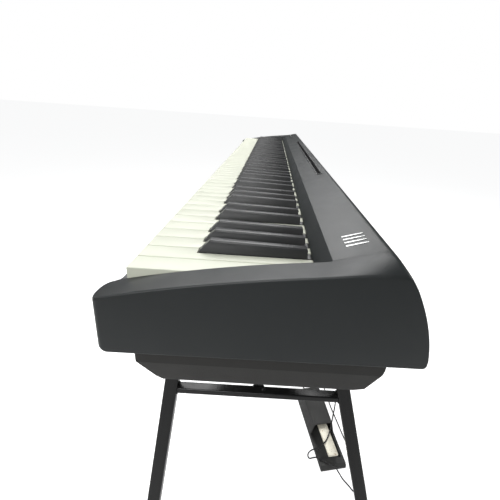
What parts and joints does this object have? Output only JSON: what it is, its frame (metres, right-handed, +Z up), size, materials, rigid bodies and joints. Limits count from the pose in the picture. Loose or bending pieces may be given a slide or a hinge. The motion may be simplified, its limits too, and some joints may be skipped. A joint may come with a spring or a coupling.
{
  "type": "digital piano on stand",
  "caption": "Slim stage piano with weighted keys on a splayed black tube stand, with a damper pedal and its lead on the floor.",
  "frame": {"origin": "on the floor, under the middle of the stand", "axes": "+X towards the treble end, +Y away from the player, +Z up"},
  "size_m": [1.284, 0.4946, 0.7291],
  "materials": {
    "case": "fine satin texture",
    "white_key": "ivory feel, satin",
    "black_key": "satin",
    "button": "soft matt",
    "chassis": "plain moulded",
    "felt": "felt",
    "speaker": "paper cone and steel basket",
    "circuit_board": "solder mask",
    "pedal_plastic": "fine texture",
    "lever_metal": "polished",
    "pin_steel": "ground",
    "rubber": "matt",
    "cord": "satin",
    "plug": "moulded body, nickel shank",
    "stand_steel": "semi-gloss black powder coat"
  },
  "bodies": {
    "root": {"bass_speaker": "speaker", "front_rail": "case", "jack_board": "circuit_board", "jack_plate": "case", "key_chassis": "chassis", "key_front_felt": "felt", "lower_case": "case", "music_rest_slot": "case", "panel_board": "circuit_board", "pedal_base": "pedal_plastic", "pedal_cord": "cord", "pedal_cord_gland": "rubber", "pedal_hood": "pedal_plastic", "pedal_pivot_pin": "pin_steel", "pedal_plug": "plug", "pedal_sole": "rubber", "piano_foot_bass_front": "rubber", "piano_foot_bass_rear": "rubber", "piano_foot_treble_front": "rubber", "piano_foot_treble_rear": "rubber", "stand_crossbar_bass": "stand_steel", "stand_crossbar_treble": "stand_steel", "stand_foot_bass_front": "rubber", "stand_foot_bass_rear": "rubber", "stand_foot_treble_front": "rubber", "stand_foot_treble_rear": "rubber", "stand_leg_bass_front": "stand_steel", "stand_leg_bass_rear": "stand_steel", "stand_leg_treble_front": "stand_steel", "stand_leg_treble_rear": "stand_steel", "stand_stretcher": "stand_steel", "stand_top_arm_bass": "stand_steel", "stand_top_arm_treble": "stand_steel", "treble_speaker": "speaker", "upper_case": "case"},
    "white_key_C7": {"white_key_C7": "white_key"},
    "black_key_C_sharp_7": {"black_key_C_sharp_7": "black_key"},
    "white_key_D7": {"white_key_D7": "white_key"},
    "black_key_D_sharp_7": {"black_key_D_sharp_7": "black_key"},
    "white_key_E7": {"white_key_E7": "white_key"},
    "white_key_F7": {"white_key_F7": "white_key"},
    "black_key_F_sharp_7": {"black_key_F_sharp_7": "black_key"},
    "white_key_G7": {"white_key_G7": "white_key"},
    "black_key_G_sharp_7": {"black_key_G_sharp_7": "black_key"},
    "white_key_A7": {"white_key_A7": "white_key"},
    "black_key_A_sharp_7": {"black_key_A_sharp_7": "black_key"},
    "white_key_B7": {"white_key_B7": "white_key"},
    "white_key_C8": {"white_key_C8": "white_key"},
    "white_key_bank_bass": {"white_key_bank_bass": "white_key"},
    "black_key_bank_bass": {"black_key_bank_bass": "black_key"},
    "white_key_bank_tenor": {"white_key_bank_tenor": "white_key"},
    "black_key_bank_tenor": {"black_key_bank_tenor": "black_key"},
    "white_key_bank_alto": {"white_key_bank_alto": "white_key"},
    "black_key_bank_alto": {"black_key_bank_alto": "black_key"},
    "function_button": {"function_button": "button"},
    "piano_tone_button": {"piano_tone_button": "button"},
    "power_button": {"power_button": "button"},
    "volume_down_button": {"volume_down_button": "button"},
    "volume_up_button": {"volume_up_button": "button"},
    "pedal_lever": {"pedal_lever": "lever_metal"}
  },
  "joints": [
    {"name": "white_key_C7_press", "type": "hinge", "parent": "root", "child": "white_key_C7", "pos_m": [0, 0.0635, 0.689], "axis": [1, 0, 0], "range_deg": [0, 2.8], "stiffness_Nm_per_rad": 1, "springref_deg": -11.46},
    {"name": "black_key_C_sharp_7_press", "type": "hinge", "parent": "root", "child": "black_key_C_sharp_7", "pos_m": [0, 0.0635, 0.689], "axis": [1, 0, 0], "range_deg": [0, 3.8], "stiffness_Nm_per_rad": 0.8, "springref_deg": -11.46},
    {"name": "white_key_D7_press", "type": "hinge", "parent": "root", "child": "white_key_D7", "pos_m": [0, 0.0635, 0.689], "axis": [1, 0, 0], "range_deg": [0, 2.8], "stiffness_Nm_per_rad": 1, "springref_deg": -11.46},
    {"name": "black_key_D_sharp_7_press", "type": "hinge", "parent": "root", "child": "black_key_D_sharp_7", "pos_m": [0, 0.0635, 0.689], "axis": [1, 0, 0], "range_deg": [0, 3.8], "stiffness_Nm_per_rad": 0.8, "springref_deg": -11.46},
    {"name": "white_key_E7_press", "type": "hinge", "parent": "root", "child": "white_key_E7", "pos_m": [0, 0.0635, 0.689], "axis": [1, 0, 0], "range_deg": [0, 2.8], "stiffness_Nm_per_rad": 1, "springref_deg": -11.46},
    {"name": "white_key_F7_press", "type": "hinge", "parent": "root", "child": "white_key_F7", "pos_m": [0, 0.0635, 0.689], "axis": [1, 0, 0], "range_deg": [0, 2.8], "stiffness_Nm_per_rad": 1, "springref_deg": -11.46},
    {"name": "black_key_F_sharp_7_press", "type": "hinge", "parent": "root", "child": "black_key_F_sharp_7", "pos_m": [0, 0.0635, 0.689], "axis": [1, 0, 0], "range_deg": [0, 3.8], "stiffness_Nm_per_rad": 0.8, "springref_deg": -11.46},
    {"name": "white_key_G7_press", "type": "hinge", "parent": "root", "child": "white_key_G7", "pos_m": [0, 0.0635, 0.689], "axis": [1, 0, 0], "range_deg": [0, 2.8], "stiffness_Nm_per_rad": 1, "springref_deg": -11.46},
    {"name": "black_key_G_sharp_7_press", "type": "hinge", "parent": "root", "child": "black_key_G_sharp_7", "pos_m": [0, 0.0635, 0.689], "axis": [1, 0, 0], "range_deg": [0, 3.8], "stiffness_Nm_per_rad": 0.8, "springref_deg": -11.46},
    {"name": "white_key_A7_press", "type": "hinge", "parent": "root", "child": "white_key_A7", "pos_m": [0, 0.0635, 0.689], "axis": [1, 0, 0], "range_deg": [0, 2.8], "stiffness_Nm_per_rad": 1, "springref_deg": -11.46},
    {"name": "black_key_A_sharp_7_press", "type": "hinge", "parent": "root", "child": "black_key_A_sharp_7", "pos_m": [0, 0.0635, 0.689], "axis": [1, 0, 0], "range_deg": [0, 3.8], "stiffness_Nm_per_rad": 0.8, "springref_deg": -11.46},
    {"name": "white_key_B7_press", "type": "hinge", "parent": "root", "child": "white_key_B7", "pos_m": [0, 0.0635, 0.689], "axis": [1, 0, 0], "range_deg": [0, 2.8], "stiffness_Nm_per_rad": 1, "springref_deg": -11.46},
    {"name": "white_key_C8_press", "type": "hinge", "parent": "root", "child": "white_key_C8", "pos_m": [0, 0.0635, 0.689], "axis": [1, 0, 0], "range_deg": [0, 2.8], "stiffness_Nm_per_rad": 1, "springref_deg": -11.46},
    {"name": "white_key_bank_bass_press", "type": "hinge", "parent": "root", "child": "white_key_bank_bass", "pos_m": [0, 0.0635, 0.689], "axis": [1, 0, 0], "range_deg": [0, 2.8], "stiffness_Nm_per_rad": 16, "springref_deg": -11.46},
    {"name": "black_key_bank_bass_press", "type": "hinge", "parent": "root", "child": "black_key_bank_bass", "pos_m": [0, 0.0635, 0.689], "axis": [1, 0, 0], "range_deg": [0, 3.8], "stiffness_Nm_per_rad": 8.8, "springref_deg": -11.46},
    {"name": "white_key_bank_tenor_press", "type": "hinge", "parent": "root", "child": "white_key_bank_tenor", "pos_m": [0, 0.0635, 0.689], "axis": [1, 0, 0], "range_deg": [0, 2.8], "stiffness_Nm_per_rad": 14, "springref_deg": -11.46},
    {"name": "black_key_bank_tenor_press", "type": "hinge", "parent": "root", "child": "black_key_bank_tenor", "pos_m": [0, 0.0635, 0.689], "axis": [1, 0, 0], "range_deg": [0, 3.8], "stiffness_Nm_per_rad": 8, "springref_deg": -11.46},
    {"name": "white_key_bank_alto_press", "type": "hinge", "parent": "root", "child": "white_key_bank_alto", "pos_m": [0, 0.0635, 0.689], "axis": [1, 0, 0], "range_deg": [0, 2.8], "stiffness_Nm_per_rad": 14, "springref_deg": -11.46},
    {"name": "black_key_bank_alto_press", "type": "hinge", "parent": "root", "child": "black_key_bank_alto", "pos_m": [0, 0.0635, 0.689], "axis": [1, 0, 0], "range_deg": [0, 3.8], "stiffness_Nm_per_rad": 8, "springref_deg": -11.46},
    {"name": "function_button_press", "type": "slide", "parent": "root", "child": "function_button", "axis": [0, 0.2842, -0.9588], "range_m": [0, 0.0012], "stiffness_N_per_m": 300, "springref_m": -0.002},
    {"name": "piano_tone_button_press", "type": "slide", "parent": "root", "child": "piano_tone_button", "axis": [0, 0.2842, -0.9588], "range_m": [0, 0.0012], "stiffness_N_per_m": 300, "springref_m": -0.002},
    {"name": "power_button_press", "type": "slide", "parent": "root", "child": "power_button", "axis": [0, 0.2842, -0.9588], "range_m": [0, 0.0012], "stiffness_N_per_m": 300, "springref_m": -0.002},
    {"name": "volume_down_button_press", "type": "slide", "parent": "root", "child": "volume_down_button", "axis": [0, 0.2842, -0.9588], "range_m": [0, 0.0012], "stiffness_N_per_m": 300, "springref_m": -0.002},
    {"name": "volume_up_button_press", "type": "slide", "parent": "root", "child": "volume_up_button", "axis": [0, 0.2842, -0.9588], "range_m": [0, 0.0012], "stiffness_N_per_m": 300, "springref_m": -0.002},
    {"name": "pedal_press", "type": "hinge", "parent": "root", "child": "pedal_lever", "pos_m": [0.14612, 0.14584, 0.03], "axis": [-0.1994, 0.9799, 0], "range_deg": [0, 6], "stiffness_Nm_per_rad": 6, "springref_deg": -8.59}
  ]
}
